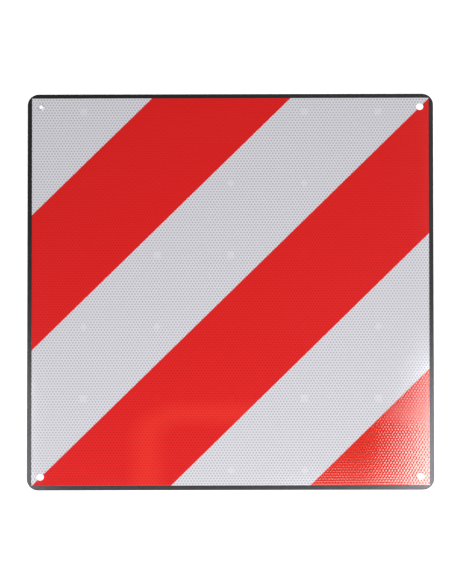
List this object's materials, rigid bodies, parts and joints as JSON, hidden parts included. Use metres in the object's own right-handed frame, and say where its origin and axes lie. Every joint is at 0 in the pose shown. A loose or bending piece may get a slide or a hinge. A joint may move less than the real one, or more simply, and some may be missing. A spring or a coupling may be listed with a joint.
{
  "type": "overhanging load sign",
  "caption": "Square plate with rounded corners and corner holes, faced with reflective sheeting in sloping red and white bands, to mark a load that sticks out.",
  "frame": {"origin": "centre of the plate's back face", "axes": "+Z out of the printed face, +Y towards the top edge of the sign, +X towards its right edge"},
  "size_m": [0.5, 0.5, 0.0031],
  "materials": {
    "black_plastic": "satin black sheet",
    "white_sheeting": "smooth reflective sheeting with a fine honeycomb of seals",
    "red_film": "see-through red over reflective sheeting"
  },
  "bodies": {
    "root": {"backing_plate": "black_plastic", "white_sheeting": "white_sheeting", "red_band_upper": "red_film", "red_band_middle": "red_film", "red_corner": "red_film"}
  },
  "joints": []
}
